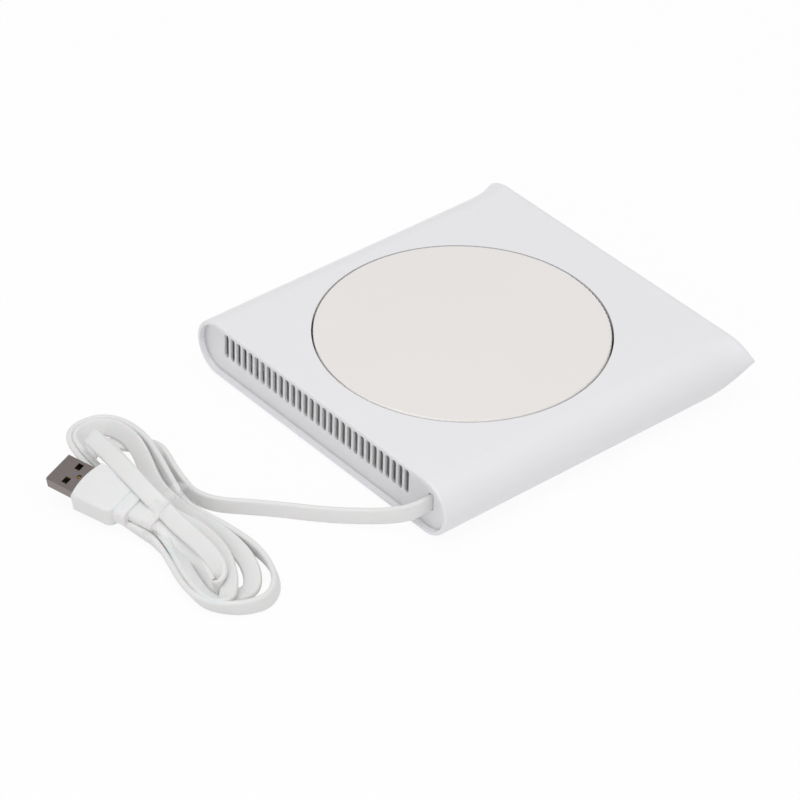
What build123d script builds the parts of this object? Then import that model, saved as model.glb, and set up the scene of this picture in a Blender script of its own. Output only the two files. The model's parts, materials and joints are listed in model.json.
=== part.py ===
from build123d import *
import os
from math import cos, radians, sin, sqrt, tan

os.makedirs("parts", exist_ok=True)

# Desk mug warmer, in millimetres. The origin is on the table under the middle of the body.
# +Z is up, the slotted end with the cord faces -Y, and the rounded nose faces +Y.

# ---- driving dimensions: body ----
BODY_W = 128.4          # across the parallel part of the sleeve
BODY_L = 132.6          # from the slotted mouth to the tip of the nose
BODY_H = 20.8           # thickness of the sleeve
FOOT_H = 1.0            # how far the rubber feet lift the sleeve
WALL = 2.0              # sleeve wall
MOUTH_WALL = 1.4        # thinner wall round the recessed mouth
NOSE_DROP = 6.5         # tip of the nose below the top face
NOSE_TOP = 3.3          # length over which the top face rounds down to the tip
NOSE_UNDER = 16.6       # length over which the underside sweeps up to the tip
FLARE = 2.6             # extra half width at the two far corners
FLARE_L = 21.8          # length over which the corners flare
FLARE_POWER = 3.4       # how late the flare sets in
TIP_H = 0.6             # blunt thickness left at the tip
TIP_WALL = 1.3          # wall at the tip over the wall elsewhere
NOSE_STATIONS = (FLARE_L, 19.0, NOSE_UNDER, 13.0, 9.5, 6.5, 4.2, 2.6, 1.4, 0.6, 0.15, 0.0)
FIT = 0.15              # clearance of a pushed-in part, each side
CUT = 1.0               # how far a cutting form reaches past the face it cuts
JOIN = 0.5              # how deep a form is sunk into the one it grows from

# ---- driving dimensions: heating plate stack ----
PLATE_D = 99.4
OPENING_D = 100.6
PLATE_Y = -4.65         # plate centre, nearer the slotted end than the body's middle
PLATE_T = 1.8
PLATE_ROUND = 0.5       # rounding of the plate's top edge
PLATE_PROUD = 0.2       # plate top above the sleeve's top face
GASKET_D, GASKET_BORE, GASKET_T = 97.0, 93.4, 0.3
HEATER_D, HEATER_T = 90.0, 1.0
PAD_T = 2.0
CARRIER_T = 1.5
LUG_T = 1.5
TRAVEL = 0.8            # how far a mug pushes the plate down
STOP_GAP = 0.1          # running gap at a stop

# ---- driving dimensions: slotted end ----
MOUTH_ROUND = 0.6       # rounding of the mouth's edges
RECESS = 3.0            # the grille sits this far inside the mouth
GRILLE_T = 1.0
GRILLE_FIT = 0.05       # the panel is a push fit, so its joint hardly shows
DISH_R = 1.1            # concave rounding from the mouth wall down to the panel
LIP_T = 0.1             # thin front edge that the rounding leaves
SKIRT_L, SKIRT_T = 3.2, 1.2
SLOT_COUNT = 30
SLOT_PITCH = 3.22
SLOT_W, SLOT_H = 2.2, 9.1
FIRST_SLOT_X = -52.1
SLOT_Z = 12.4
CORD_HOLE_W, CORD_HOLE_H, CORD_HOLE_R = 2.5, 6.4, 0.9
CORD_HOLE_X = 53.35

# ---- driving dimensions: cord ----
CORD_W, CORD_T = 6.0, 2.0       # flat two-core cord, standing on its edge
CORD_R = 0.9                    # rounding of its long edges
CORD_X, CORD_Z = 53.3, 11.4     # where it passes the grille
CORD_REST_Z = CORD_W / 2        # middle of the cord where it stands on the table

# ---- derived levels and places ----
BOTTOM = FOOT_H
TOP = BOTTOM + BODY_H
MID_Z = (BOTTOM + TOP) / 2
HALF_W = BODY_W / 2
ROUND = BODY_H / 2
MOUTH_Y = -BODY_L / 2
NOSE_Y = BODY_L / 2
GRILLE_Y = MOUTH_Y + RECESS
GRILLE_BACK = GRILLE_Y + GRILLE_T
ROOF = TOP - WALL
FLOOR = BOTTOM + WALL
COVER_TOP = FLOOR

PLATE_Z1 = TOP + PLATE_PROUD
PLATE_Z0 = PLATE_Z1 - PLATE_T
GASKET_Z0 = PLATE_Z0 - GASKET_T
HEATER_Z0 = PLATE_Z0 - HEATER_T
PAD_Z0 = HEATER_Z0 - PAD_T
CARRIER_Z0 = PAD_Z0 - CARRIER_T
CARRIER_R = 48.6
LUG_R = 53.5

COVER_W, COVER_L, COVER_R = 104.0, 110.0, 5.7
COVER_Y = -6.0
BOSS_XY = [(sx * 44.0, y) for sx in (-1, 1) for y in (-52.0, 42.0)]
BOSS_D, CUP_D, CUP_TOP = 7.0, 12.0, 5.5
FOOT_D, FOOT_SINK, FOOT_ROUND, FOOT_GAP = 10.0, 0.8, 0.4, 0.2
SCREW_HEAD_D, SCREW_HEAD_H, SCREW_D, SCREW_END = 5.4, 1.9, 2.5, 13.5
PILOT_D, SCREW_HOLE_D = 2.6, 3.1
CROSS_L, CROSS_W, CROSS_DEPTH = 3.0, 0.8, 0.9       # cross recess in a screw's head
HEAD_BORE_D, HEAD_SEAT_Z = 6.0, 3.8

POST_R = 38.0
POST_ANGLES = (90, 210, 330)
POST_D, POST_TOP = 5.0, 13.0
GUIDE_IN, GUIDE_OUT, GUIDE_Z0 = 5.6, 7.2, 8.0
SPRING_WIRE, SPRING_MEAN_R, SPRING_TURNS = 0.7, 4.6, 5.5

BOARD_W, BOARD_L, BOARD_T, BOARD_CORNER = 46.0, 34.0, 1.2, 1.5
BOARD_HOLE_D, BOARD_PILOT_D, BOARD_PILOT_Z0 = 2.4, 1.7, 2.2
BOARD_SCREW_D, BOARD_SCREW_Z0, BOARD_HEAD_D, BOARD_HEAD_H = 1.6, 2.5, 3.6, 1.3
BOARD_SLOT_L, BOARD_SLOT_W, BOARD_SLOT_DEPTH = 2.4, 0.6, 0.6    # slot in a board screw's head
BOARD_Z0 = 5.0
BOARD_TOP = BOARD_Z0 + BOARD_T
BOARD_HOLES = [(sx * 20.0, PLATE_Y + sy * 14.0) for sx in (-1, 1) for sy in (-1, 1)]
SWITCH_W, SWITCH_D, SWITCH_H, SWITCH_ROUND = 12.8, 5.8, 6.5, 0.5
PLUNGER_W, PLUNGER_D, PLUNGER_UP, PLUNGER_SINK = 2.8, 1.6, 1.4, 2.0
PLUNGER_ROUND = 0.3
SWITCH_TOP = BOARD_TOP + SWITCH_H
PRESS_PAD_D = 6.0
WIRE_D = 1.2

# ---- USB plug, in its own frame: x from the tip backwards, y across, z up from the shell's top ----
PLUG_TIP = Vector(-36.3, -144.3, 10.5)
PLUG_AXIS = Vector(0.972, 0.236, -0.018)
PLUG_UP = Vector(0.067, -0.207, 0.976)
SHELL_W, SHELL_H, SHELL_L, SHELL_WALL = 12.0, 4.5, 14.5, 0.3
SHELL_OUT = 10.2        # bare metal in front of the moulding
SHELL_R = 0.6           # rounding of the shell's long edges
LATCH_X, LATCH_Y, LATCH_L, LATCH_W = 6.3, 3.3, 2.1, 2.6     # latch holes of each broad face
DIMPLE_X, DIMPLE_D = 9.0, 1.6
MOULD_W, MOULD_H, MOULD_L = 15.4, 7.0, 17.6
MOULD_BULGE, MOULD_TAPER, MOULD_BACK_R, MOULD_RIM = 1.2, 0.6, 4.0, 0.7
NECK_W, NECK_H, NECK_L, NECK_R = 10.4, 5.6, 2.6, 1.8
STEM_W, STEM_H, STEM_L, STEM_R = 7.4, 4.2, 6.4, 1.6
TONGUE_W, TONGUE_H, TONGUE_X0, TONGUE_R = 11.2, 1.9, 0.6, 0.2
CONTACT_X, CONTACT_Y, CONTACT_W, CONTACT_T = (1.8, 9.0), (-3.5, -1.0, 1.0, 3.5), 1.0, 0.25
CONTACT_PROUD = 0.05
PLUG_GAP = 0.3          # clearance between the plug and the cord under it


def block(x0, x1, y0, y1, z0, z1):
    """Box from its corners."""
    size = (x1 - x0, y1 - y0, z1 - z0)
    return Pos((x0 + x1) / 2, (y0 + y1) / 2, (z0 + z1) / 2) * Box(*size)


def rod(diameter, z0, z1, x=0.0, y=0.0):
    """Upright cylinder."""
    return Pos(x, y, (z0 + z1) / 2) * Cylinder(diameter / 2, z1 - z0)


def rounded_slab(width, length, corner, z0, z1, x=0.0, y=0.0):
    """Flat plate with rounded corners in plan."""
    sketch = Pos(x, y, z0) * RectangleRounded(width, length, corner)
    return extrude(sketch, z1 - z0)


def on_posts():
    """Centres of the three spring posts."""
    return [(POST_R * cos(radians(a)), PLATE_Y + POST_R * sin(radians(a))) for a in POST_ANGLES]


def stadium(y0, y1, half_width, z0, z1):
    """Bar along Y with flat top and bottom and half-round sides."""
    plane = Plane(origin=(0, y0, (z0 + z1) / 2), x_dir=(1, 0, 0), z_dir=(0, -1, 0))
    return extrude(plane * SlotOverall(2 * half_width, z1 - z0), y0 - y1)


def shrunk_stadium(y0, y1, inset):
    """Stadium that follows the sleeve's outside, moved inwards by inset."""
    return stadium(y0, y1, HALF_W - inset, BOTTOM + inset, TOP - inset)


def save(name, shape):
    export_step(shape, f"parts/{name}.step")


# ---------------------------------------------------------------- sleeve
def section(y, half_width, z0, z1, side):
    """Flat-topped face across the sleeve at y, with half-ellipse sides of depth side."""
    plane = Plane(origin=(0, y, 0), x_dir=(1, 0, 0), z_dir=(0, -1, 0))
    middle, half_h, flat = (z0 + z1) / 2, (z1 - z0) / 2, half_width - side
    right = EllipticalCenterArc((flat, middle), side, half_h, -90, arc_size=180)
    left = EllipticalCenterArc((-flat, middle), side, half_h, 90, arc_size=180)
    roof = Line((flat, z1), (-flat, z1))
    base = Line((-flat, z0), (flat, z0))
    return plane * make_face(Curve() + [right, roof, left, base])


def nose_section(back, inset):
    """Section of the nose at a distance back from the tip, moved inwards by inset."""
    top_s = max(0.0, 1 - back / (NOSE_TOP + inset))
    under_s = max(0.0, 1 - back / NOSE_UNDER)
    drop = (NOSE_DROP - inset) * (1 - sqrt(1 - top_s ** 2))
    rise = (BODY_H - NOSE_DROP - inset) * (1 - sqrt(1 - under_s ** 2))
    z1, z0 = TOP - inset - drop, BOTTOM + inset + rise
    if z1 - z0 < TIP_H:
        tip_z = TOP - NOSE_DROP
        z0, z1 = tip_z - TIP_H / 2, tip_z + TIP_H / 2
    flare = FLARE * max(0.0, 1 - back / FLARE_L) ** FLARE_POWER
    y = NOSE_Y - back - TIP_WALL * inset
    return section(y, HALF_W + flare - inset, z0, z1, ROUND - inset)


def sleeve_form(start_y, inset):
    """Solid form of the sleeve from start_y to the nose, moved inwards by inset."""
    nose = loft([nose_section(back, inset) for back in NOSE_STATIONS])
    bar_end = nose_section(FLARE_L, inset)
    straight = extrude(bar_end, bar_end.center().Y - start_y)
    return straight + nose


def make_sleeve():
    """Seamless ABS sleeve, open at the mouth, at the plate and underneath."""
    outer = sleeve_form(MOUTH_Y, 0.0)
    mouth_edges = outer.edges().filter_by(lambda e: abs(e.center().Y - MOUTH_Y) < 0.01)
    outer = fillet(mouth_edges, MOUTH_ROUND)
    cavity = sleeve_form(GRILLE_BACK, WALL)
    body = outer - cavity - shrunk_stadium(MOUTH_Y - CUT, GRILLE_BACK, MOUTH_WALL)
    body = body - rod(OPENING_D, ROOF - CUT, TOP + CUT, 0, PLATE_Y)
    gap = 2 * FIT
    window = rounded_slab(COVER_W + 2 * gap, COVER_L + 2 * gap, COVER_R + gap,
                          BOTTOM - CUT, FLOOR + JOIN, 0, COVER_Y)
    body = body - window
    for x, y in BOSS_XY:
        boss = rod(BOSS_D, CUP_TOP, ROOF + JOIN, x, y)
        pilot = rod(PILOT_D, CUP_TOP - CUT, SCREW_END + CUT, x, y)
        body = body + boss - pilot
    return body


# ---------------------------------------------------------------- underside
def make_cover():
    """Bottom cover with screw cups, spring posts and board posts."""
    cover = rounded_slab(COVER_W, COVER_L, COVER_R, BOTTOM, COVER_TOP, 0, COVER_Y)
    for x, y in BOSS_XY:
        cover = cover + rod(CUP_D, COVER_TOP - JOIN, CUP_TOP, x, y)
    for x, y in BOSS_XY:
        cover = cover - rod(FOOT_D + 2 * FOOT_GAP, BOTTOM - CUT, BOTTOM + FOOT_SINK, x, y)
        cover = cover - rod(HEAD_BORE_D, BOTTOM, HEAD_SEAT_Z, x, y)
        cover = cover - rod(SCREW_HOLE_D, BOTTOM, CUP_TOP + CUT, x, y)
    for x, y in on_posts():
        cover = cover + rod(POST_D, COVER_TOP - JOIN, POST_TOP, x, y)
    for x, y in BOARD_HOLES:
        post = rod(POST_D, COVER_TOP - JOIN, BOARD_Z0, x, y)
        cover = cover + post - rod(BOARD_PILOT_D, BOARD_PILOT_Z0, BOARD_Z0 + CUT, x, y)
    return cover


def make_screws():
    """Four self-tapping cover screws, heads down, under the feet."""
    screws = []
    for x, y in BOSS_XY:
        head_z = HEAD_SEAT_Z - SCREW_HEAD_H
        head = rod(SCREW_HEAD_D, head_z, HEAD_SEAT_Z, x, y)
        for turn in (0, 90):
            head = head - Pos(x, y, head_z) * Rot(0, 0, turn) * Box(CROSS_L, CROSS_W, 2 * CROSS_DEPTH)
        screws.append(head + rod(SCREW_D, HEAD_SEAT_Z - JOIN, SCREW_END, x, y))
    return Compound(screws)


def make_feet():
    feet = []
    for x, y in BOSS_XY:
        foot = rod(FOOT_D, 0, BOTTOM + FOOT_SINK, x, y)
        low_edge = foot.edges().filter_by(GeomType.CIRCLE).sort_by(Axis.Z)[0]
        feet.append(fillet(low_edge, FOOT_ROUND))
    return Compound(feet)


# ---------------------------------------------------------------- slotted end
def make_grille():
    """Dished end panel with upright slots, a cord hole and a locating skirt."""
    edge = MOUTH_WALL + GRILLE_FIT
    panel = shrunk_stadium(GRILLE_Y - DISH_R - LIP_T, GRILLE_BACK, edge)
    dish = shrunk_stadium(MOUTH_Y, GRILLE_Y, edge + LIP_T)
    dish_bottom = dish.edges().filter_by(lambda e: abs(e.center().Y - GRILLE_Y) < 0.01)
    panel = panel - fillet(dish_bottom, DISH_R)
    skirt_end = GRILLE_BACK + SKIRT_L
    skirt = shrunk_stadium(GRILLE_BACK - GRILLE_T / 2, skirt_end, WALL + FIT)
    skirt = skirt - shrunk_stadium(GRILLE_BACK, skirt_end + CUT, WALL + FIT + SKIRT_T)
    panel = panel + skirt
    plane = Plane(origin=(0, GRILLE_Y - CUT, 0), x_dir=(1, 0, 0), z_dir=(0, -1, 0))
    slots = Sketch()
    for i in range(SLOT_COUNT):
        x = FIRST_SLOT_X + i * SLOT_PITCH
        slots = slots + Pos(x, SLOT_Z) * SlotOverall(SLOT_H, SLOT_W, rotation=90)
    slots = slots + Pos(CORD_HOLE_X, CORD_Z) * RectangleRounded(CORD_HOLE_W, CORD_HOLE_H, CORD_HOLE_R)
    return panel - extrude(plane * slots, -(GRILLE_T + 2 * CUT))


# ---------------------------------------------------------------- plate stack (moves)
def make_heating_plate():
    plate = rod(PLATE_D, PLATE_Z0, PLATE_Z1, 0, PLATE_Y)
    top_edge = plate.edges().filter_by(GeomType.CIRCLE).sort_by(Axis.Z)[-1]
    return fillet(top_edge, PLATE_ROUND)


def ring(d_out, d_in, z0, z1):
    return rod(d_out, z0, z1, 0, PLATE_Y) - rod(d_in, z0 - CUT, z1 + CUT, 0, PLATE_Y)


SENSOR_XY = (7.0, PLATE_Y + 13.0)
SENSOR_L, SENSOR_W, SENSOR_H, SENSOR_ROUND = 3.6, 1.6, 1.6, 0.5
SENSOR_HOLE_D = 5.0
SENSOR_LEAD_D = 0.7
SENSOR_LEADS = [(SENSOR_XY[0] + dx, SENSOR_XY[1]) for dx in (-0.9, 0.9)]
CUTOUT_XY = (-16.0, PLATE_Y + 12.0)
CUTOUT_L, CUTOUT_W, CUTOUT_GAP, CUTOUT_ROUND = 8.0, 5.0, 0.5, 0.8
LEAD_HOLE_XY = (16.0, PLATE_Y - 12.0)
LEAD_HOLE_D = 8.0
LEAD_XY = [(LEAD_HOLE_XY[0] + dx, LEAD_HOLE_XY[1]) for dx in (-1.5, 1.5)]
TRAY_BORE = HEATER_D + 1.2
LUG_COUNT, LUG_L = 6, 14.0


def make_pad():
    """Ceramic-fibre insulation with pockets for the sensors and the leads."""
    z0, z1 = PAD_Z0 - CUT, HEATER_Z0 + CUT
    pad = rod(HEATER_D, PAD_Z0, HEATER_Z0, 0, PLATE_Y)
    pad = pad - rod(SENSOR_HOLE_D, z0, z1, *SENSOR_XY) - rod(LEAD_HOLE_D, z0, z1, *LEAD_HOLE_XY)
    x, y = CUTOUT_XY
    half_l, half_w = CUTOUT_L / 2 + CUTOUT_GAP, CUTOUT_W / 2 + CUTOUT_GAP
    return pad - block(x - half_l, x + half_l, y - half_w, y + half_w, z0, z1)


def make_carrier():
    """Heat-resistant tray: holds the stack, slides on the posts, stops under the roof."""
    tray = ring(2 * CARRIER_R, TRAY_BORE, CARRIER_Z0, GASKET_Z0)
    tray = tray + rod(TRAY_BORE + 2 * JOIN, CARRIER_Z0, PAD_Z0, 0, PLATE_Y)
    lug_z1 = ROOF - STOP_GAP
    lugs = ring(2 * LUG_R, 2 * (CARRIER_R - JOIN), lug_z1 - LUG_T, lug_z1)
    keep = Sketch()
    for k in range(LUG_COUNT):
        keep = keep + Rot(0, 0, 360 / LUG_COUNT * (k + 0.5)) * Pos(LUG_R, 0) * Rectangle(LUG_L, LUG_L)
    lug_blocks = extrude(Pos(0, PLATE_Y, lug_z1 - LUG_T - CUT) * keep, LUG_T + 2 * CUT)
    tray = tray + (lugs & lug_blocks)
    for x, y in on_posts():
        tube = rod(GUIDE_OUT, GUIDE_Z0, CARRIER_Z0 + JOIN, x, y)
        tray = tray + tube - rod(GUIDE_IN, GUIDE_Z0 - CUT, CARRIER_Z0, x, y)
    press = rod(PRESS_PAD_D, SWITCH_TOP + PLUNGER_UP + STOP_GAP, CARRIER_Z0 + JOIN, 0, PLATE_Y)
    tray = tray + press - rod(LEAD_HOLE_D, CARRIER_Z0 - CUT, PAD_Z0 + CUT, *LEAD_HOLE_XY)
    return tray - rod(SENSOR_HOLE_D, CARRIER_Z0 - CUT, PAD_Z0 + CUT, *SENSOR_XY)


def make_thermistor():
    """Glass-bead temperature sensor on the back of the heater."""
    bead = Pos(*SENSOR_XY, HEATER_Z0 - SENSOR_H / 2) * Box(SENSOR_L, SENSOR_W, SENSOR_H)
    return fillet(bead.edges().filter_by(Axis.X), SENSOR_ROUND)


def make_cutout():
    """One-shot thermal protector in its pocket of the pad."""
    body_h = PAD_T - 0.2
    body = Pos(*CUTOUT_XY, HEATER_Z0 - body_h / 2) * Box(CUTOUT_L, CUTOUT_W, body_h)
    return fillet(body.edges().filter_by(Axis.Z), CUTOUT_ROUND)


def make_springs():
    """Three compression springs round the posts, ends ground flat."""
    springs = []
    height = CARRIER_Z0 - COVER_TOP
    pitch = (height - SPRING_WIRE) / SPRING_TURNS
    for x, y in on_posts():
        path = Helix(pitch=pitch, height=pitch * SPRING_TURNS, radius=SPRING_MEAN_R)
        start = path @ 0
        disc = Plane(origin=start, z_dir=path % 0) * Circle(SPRING_WIRE / 2)
        coil = sweep(disc, path=path, is_frenet=True)
        springs.append(Pos(x, y, COVER_TOP + SPRING_WIRE / 2) * coil)
    return Compound(springs)


# ---------------------------------------------------------------- electronics
def make_board():
    board = rounded_slab(BOARD_W, BOARD_L, BOARD_CORNER, BOARD_Z0, BOARD_TOP, 0, PLATE_Y)
    for x, y in BOARD_HOLES:
        board = board - rod(BOARD_HOLE_D, BOARD_Z0 - CUT, BOARD_TOP + CUT, x, y)
    return board


def make_board_screws():
    screws = []
    for x, y in BOARD_HOLES:
        head_top = BOARD_TOP + BOARD_HEAD_H
        head = rod(BOARD_HEAD_D, BOARD_TOP, head_top, x, y)
        head = head - Pos(x, y, head_top) * Box(BOARD_SLOT_L, BOARD_SLOT_W, 2 * BOARD_SLOT_DEPTH)
        screws.append(head + rod(BOARD_SCREW_D, BOARD_SCREW_Z0, BOARD_TOP + JOIN, x, y))
    return Compound(screws)


def make_switch():
    """Micro switch body standing on the board under the plate's middle."""
    body = block(-SWITCH_W / 2, SWITCH_W / 2, PLATE_Y - SWITCH_D / 2, PLATE_Y + SWITCH_D / 2,
                 BOARD_TOP, SWITCH_TOP)
    body = fillet(body.edges().filter_by(Axis.Z), SWITCH_ROUND)
    slot_w, slot_d = PLUNGER_W + 2 * FIT, PLUNGER_D + 2 * FIT
    well_z = SWITCH_TOP - PLUNGER_SINK - TRAVEL - 2 * FIT
    return body - block(-slot_w / 2, slot_w / 2, PLATE_Y - slot_d / 2, PLATE_Y + slot_d / 2,
                        well_z, SWITCH_TOP + CUT)


def make_plunger():
    plunger = block(-PLUNGER_W / 2, PLUNGER_W / 2, PLATE_Y - PLUNGER_D / 2,
                    PLATE_Y + PLUNGER_D / 2, SWITCH_TOP - PLUNGER_SINK, SWITCH_TOP + PLUNGER_UP)
    top_edges = plunger.faces().sort_by(Axis.Z)[-1].edges()
    return fillet(top_edges, PLUNGER_ROUND)


CHIP_XY = (-15.0, PLATE_Y + 2.0)
CHIP_L, CHIP_W, CHIP_Z0, CHIP_TOP = 5.0, 4.0, BOARD_TOP + 0.15, BOARD_TOP + 1.6
LEG_PAIRS, LEG_PITCH, LEG_W, LEG_T, LEG_SPAN = 4, 1.27, 0.4, 0.3, 6.0


def make_chip():
    """Eight-legged controller: each pair of legs is one strip that runs through the case."""
    x, y = CHIP_XY
    chip = Pos(x, y, (CHIP_Z0 + CHIP_TOP) / 2) * Box(CHIP_L, CHIP_W, CHIP_TOP - CHIP_Z0)
    for i in range(LEG_PAIRS):
        leg_x = x + (i - (LEG_PAIRS - 1) / 2) * LEG_PITCH
        chip = chip + Pos(leg_x, y, BOARD_TOP + LEG_T / 2) * Box(LEG_W, LEG_SPAN, LEG_T)
    return chip


SWITCHER_XY = (14.0, PLATE_Y + 8.0)
SWITCHER_W, TAB_T, CASE_Z0, CASE_TOP = 6.6, 0.6, BOARD_TOP + 0.5, BOARD_TOP + 2.3
TAB_Y, CASE_Y, PIN_Y = (-1.0, 5.0), (-2.5, 3.5), (-5.0, -2.0)      # front and back of each piece
PIN_OFFSET, PIN_W, PIN_T = 2.3, 0.7, 0.7


def make_transistor():
    """Power transistor that switches the heater: metal tab, moulded case and two pins."""
    x, y = SWITCHER_XY
    x0, x1 = x - SWITCHER_W / 2, x + SWITCHER_W / 2
    body = block(x0, x1, y + TAB_Y[0], y + TAB_Y[1], BOARD_TOP, BOARD_TOP + TAB_T)
    body = body + block(x0, x1, y + CASE_Y[0], y + CASE_Y[1], CASE_Z0, CASE_TOP)
    for sx in (-1, 1):
        pin_x = x + sx * PIN_OFFSET
        body = body + block(pin_x - PIN_W / 2, pin_x + PIN_W / 2, y + PIN_Y[0], y + PIN_Y[1],
                            BOARD_TOP, BOARD_TOP + PIN_T)
    return body


CAN_XY, CAN_D, CAN_H, CAN_ROUND = (-14.0, PLATE_Y - 9.0), 6.3, 6.0, 0.6


def make_capacitor():
    can = rod(CAN_D, BOARD_TOP, BOARD_TOP + CAN_H, *CAN_XY)
    top_edge = can.edges().filter_by(GeomType.CIRCLE).sort_by(Axis.Z)[-1]
    return fillet(top_edge, CAN_ROUND)


SOCKET_X, SOCKET_Y = 15.9, PLATE_Y - 1.0
SOCKET_L, SOCKET_W, SOCKET_H = 6.0, 6.0, 5.0
WAY_OFFSET, WAY_D, WAY_DEPTH, WAY_Z = 1.5, 1.6, 3.0, BOARD_TOP + 2.5


def make_socket():
    """Two-way socket for the cord's cores."""
    shell = block(SOCKET_X, SOCKET_X + SOCKET_L, SOCKET_Y - SOCKET_W / 2, SOCKET_Y + SOCKET_W / 2,
                  BOARD_TOP, BOARD_TOP + SOCKET_H)
    for side in (-1, 1):
        way = Rot(0, 90, 0) * Cylinder(WAY_D / 2, 2 * WAY_DEPTH)
        shell = shell - Pos(SOCKET_X + SOCKET_L, SOCKET_Y + side * WAY_OFFSET, WAY_Z) * way
    return shell


# ---------------------------------------------------------------- cord
CORD_ROUTE = [
    (CORD_X, GRILLE_BACK, CORD_Z),
    (53.3, -65.8, 11.0),
    (50.9, -69.6, 8.7),
    (45.6, -73.3, 5.9),
    (39.4, -77.9, 4.1),
    (30.1, -86.4, CORD_REST_Z),
    (15.1, -99.3, CORD_REST_Z),
    (0.1, -114.8, CORD_REST_Z),
    (-16.0, -111.9, CORD_REST_Z),
    (-28.0, -108.7, CORD_REST_Z),
]
HANK_OUTLINE = [
    (-27.5, -111.2), (-33.5, -107.0), (-45.5, -106.8), (-54.6, -110.8), (-58.0, -118.0),
    (-54.8, -126.4), (-45.0, -134.4), (-30.0, -140.2), (-12.0, -141.2), (4.0, -139.2),
    (14.0, -140.0), (27.0, -143.0), (39.0, -144.2), (47.6, -140.4), (50.4, -132.0),
    (47.6, -122.0), (38.0, -115.6), (24.0, -113.4), (10.0, -115.4), (-2.0, -117.4),
    (-16.0, -115.2),
]
RIDGE_OUTLINE = [
    (-47.0, -119.0), (-41.0, -116.0), (-25.0, -117.5), (-2.0, -120.5), (12.0, -124.0),
    (32.0, -127.0), (41.0, -133.0), (35.0, -139.5), (18.0, -136.0), (-2.0, -131.0),
    (-25.0, -126.5), (-42.0, -124.5),
]
HANK_H = 7.0
RIDGE_TOP = 11.2
TIE_AT = (2.9, -128.3)          # middle of the strap, which crosses the waist askew
TIE_TURN = 20.0
TIE_W, TIE_SPAN, TIE_TOP, TIE_T, TIE_R, TIE_GAP = 6.0, 22.6, 10.4, 0.5, 3.0, 0.3


def corner_radii(points):
    """Largest even arc for each corner: 0.45 of the shorter run over tan(half the turn)."""
    radii = []
    for a, b, c in zip(points, points[1:], points[2:]):
        run_in, run_out = Vector(*b) - Vector(*a), Vector(*c) - Vector(*b)
        half_turn = radians(run_in.get_angle(run_out)) / 2
        radii.append(0.45 * min(run_in.length, run_out.length) / tan(half_turn))
    return radii


def cord_section(point, direction):
    """Flat section standing on edge, square to direction."""
    across = direction.cross(Vector(0, 0, 1)).normalized()
    plane = Plane(origin=point, x_dir=across, z_dir=direction)
    return plane * RectangleRounded(CORD_T, CORD_W, CORD_R)


def make_lead():
    """The free stretch of cord, from the grille down to the table and on to the hank."""
    radii = corner_radii(CORD_ROUTE)
    path = FilletPolyline(*CORD_ROUTE, radius=radii)
    start = cord_section(path @ 0, path % 0)
    lead = sweep(start, path=path)
    print("cord arc radii", [round(r, 1) for r in radii])
    print("cord length", round(path.length, 1), "volume over section x length",
          round(lead.volume / (start.area * path.length), 4))
    return lead


def plug_plane():
    return Plane(origin=PLUG_TIP, x_dir=PLUG_AXIS, z_dir=PLUG_UP)


MOULD_X1 = SHELL_OUT + MOULD_L
NECK_X1 = MOULD_X1 + NECK_L
STEM_X1 = NECK_X1 + STEM_L
SHELL_MID = -SHELL_H / 2


def plug_space():
    """Room that the plug takes, with a little clearance, open at the top."""
    room = None
    for x0, x1, width, height in (
        (-CUT, SHELL_OUT, SHELL_W, SHELL_H),
        (SHELL_OUT - 2 * MOULD_BULGE, NECK_X1, MOULD_W, MOULD_H),
        (NECK_X1 - CUT, STEM_X1, STEM_W, STEM_H),
    ):
        half_w, half_h = width / 2 + PLUG_GAP, height / 2 + PLUG_GAP
        part = block(x0, x1, -half_w, half_w, SHELL_MID - half_h, MOULD_H + CUT)
        room = room + part if room else part
    return plug_plane().location * room


def tie_band(width, inset):
    """Bar through the waist, width long along the hank, inset from the strap's outside."""
    along = Vector(cos(radians(TIE_TURN)), sin(radians(TIE_TURN)), 0)
    across = Vector(0, 0, 1).cross(along)
    end = Vector(*TIE_AT, TIE_TOP / 2) - along * (width / 2)
    start = Plane(origin=end, x_dir=across, z_dir=along)
    outline = RectangleRounded(TIE_SPAN - 2 * inset, TIE_TOP - 2 * inset, TIE_R - inset)
    return extrude(start * outline, width)


def make_tie():
    """Clear plastic strap round the waist of the hank."""
    return tie_band(TIE_W, 0.0) - tie_band(TIE_W + 2 * CUT, TIE_T)


def make_hank():
    """Closed outer shape of the looped cord: two lobes, a waist and the strands lying on top."""
    lobes = extrude(make_face(Curve() + [Spline(*HANK_OUTLINE, periodic=True)]), HANK_H)
    ridge = extrude(make_face(Curve() + [Spline(*RIDGE_OUTLINE, periodic=True)]), RIDGE_TOP)
    waist_w = TIE_W + 2 * TIE_GAP
    room = Pos(*TIE_AT, 0) * Rot(0, 0, TIE_TURN) * Box(waist_w, 2 * TIE_SPAN, 2 * RIDGE_TOP)
    return (lobes + ridge - room + tie_band(waist_w, TIE_T)) - plug_space()


# ---------------------------------------------------------------- inside the slotted end
ANCHOR_L, ANCHOR_W, ANCHOR_H, ANCHOR_R = 6.0, 6.4, 10.0, 1.0
TAIL_END_Y = -47.0
CORE_OFFSET = 1.1               # each core from the middle of the sheath
CORE_RADIUS_SHARE = 0.8         # of the largest even arc, so that short runs keep some straight wire


def make_anchor():
    """Moulded block on the cord that cannot pass the hole in the grille."""
    anchor = block(CORD_X - ANCHOR_W / 2, CORD_X + ANCHOR_W / 2, GRILLE_BACK,
                   GRILLE_BACK + ANCHOR_L, CORD_Z - ANCHOR_H / 2, CORD_Z + ANCHOR_H / 2)
    anchor = fillet(anchor.edges().filter_by(Axis.Y), ANCHOR_R)
    start = Vector(CORD_X, GRILLE_BACK - CUT, CORD_Z)
    return anchor - extrude(cord_section(start, Vector(0, 1, 0)), ANCHOR_L + 2 * CUT)


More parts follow.
